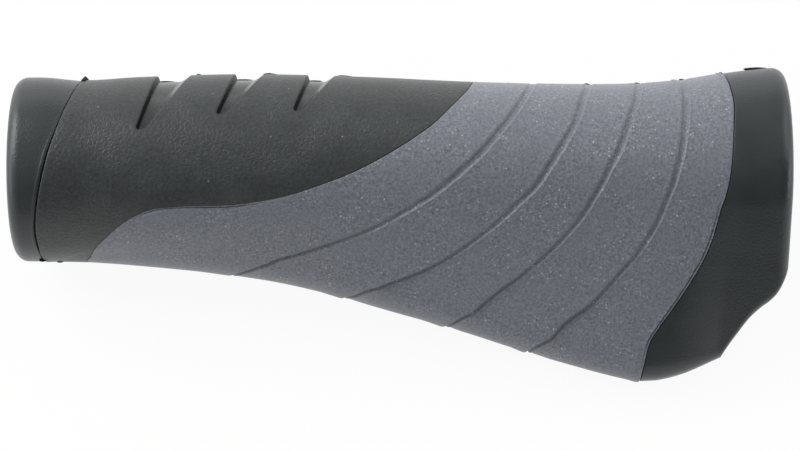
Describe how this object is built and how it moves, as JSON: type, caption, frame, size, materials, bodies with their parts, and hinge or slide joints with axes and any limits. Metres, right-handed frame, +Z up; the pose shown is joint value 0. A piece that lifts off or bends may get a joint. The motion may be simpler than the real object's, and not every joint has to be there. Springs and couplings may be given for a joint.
{
  "type": "bicycle handlebar grip",
  "caption": "Ergonomic handlebar grip with a closed end, a flat palm wing, a grained cover with finger slots and a grooved grey pad.",
  "frame": {"origin": "centre of the bounding box, on the surface that the grip lies on", "axes": "+X along the bar axis from the open inboard end to the closed outboard end, +Y towards the fingers, +Z up; the palm wing points to -Y and drops until its edge touches the surface"},
  "size_m": [0.133, 0.0524, 0.0323],
  "materials": {
    "base_plastic": "smooth black thermoplastic, satin",
    "cover_rubber": "fine leather-like moulded grain, matt black",
    "pad_rubber": "matt mid grey with fine pale speckles"
  },
  "bodies": {
    "root": {"base_sleeve": "base_plastic", "front_cover": "cover_rubber", "palm_pad": "pad_rubber"}
  },
  "joints": []
}
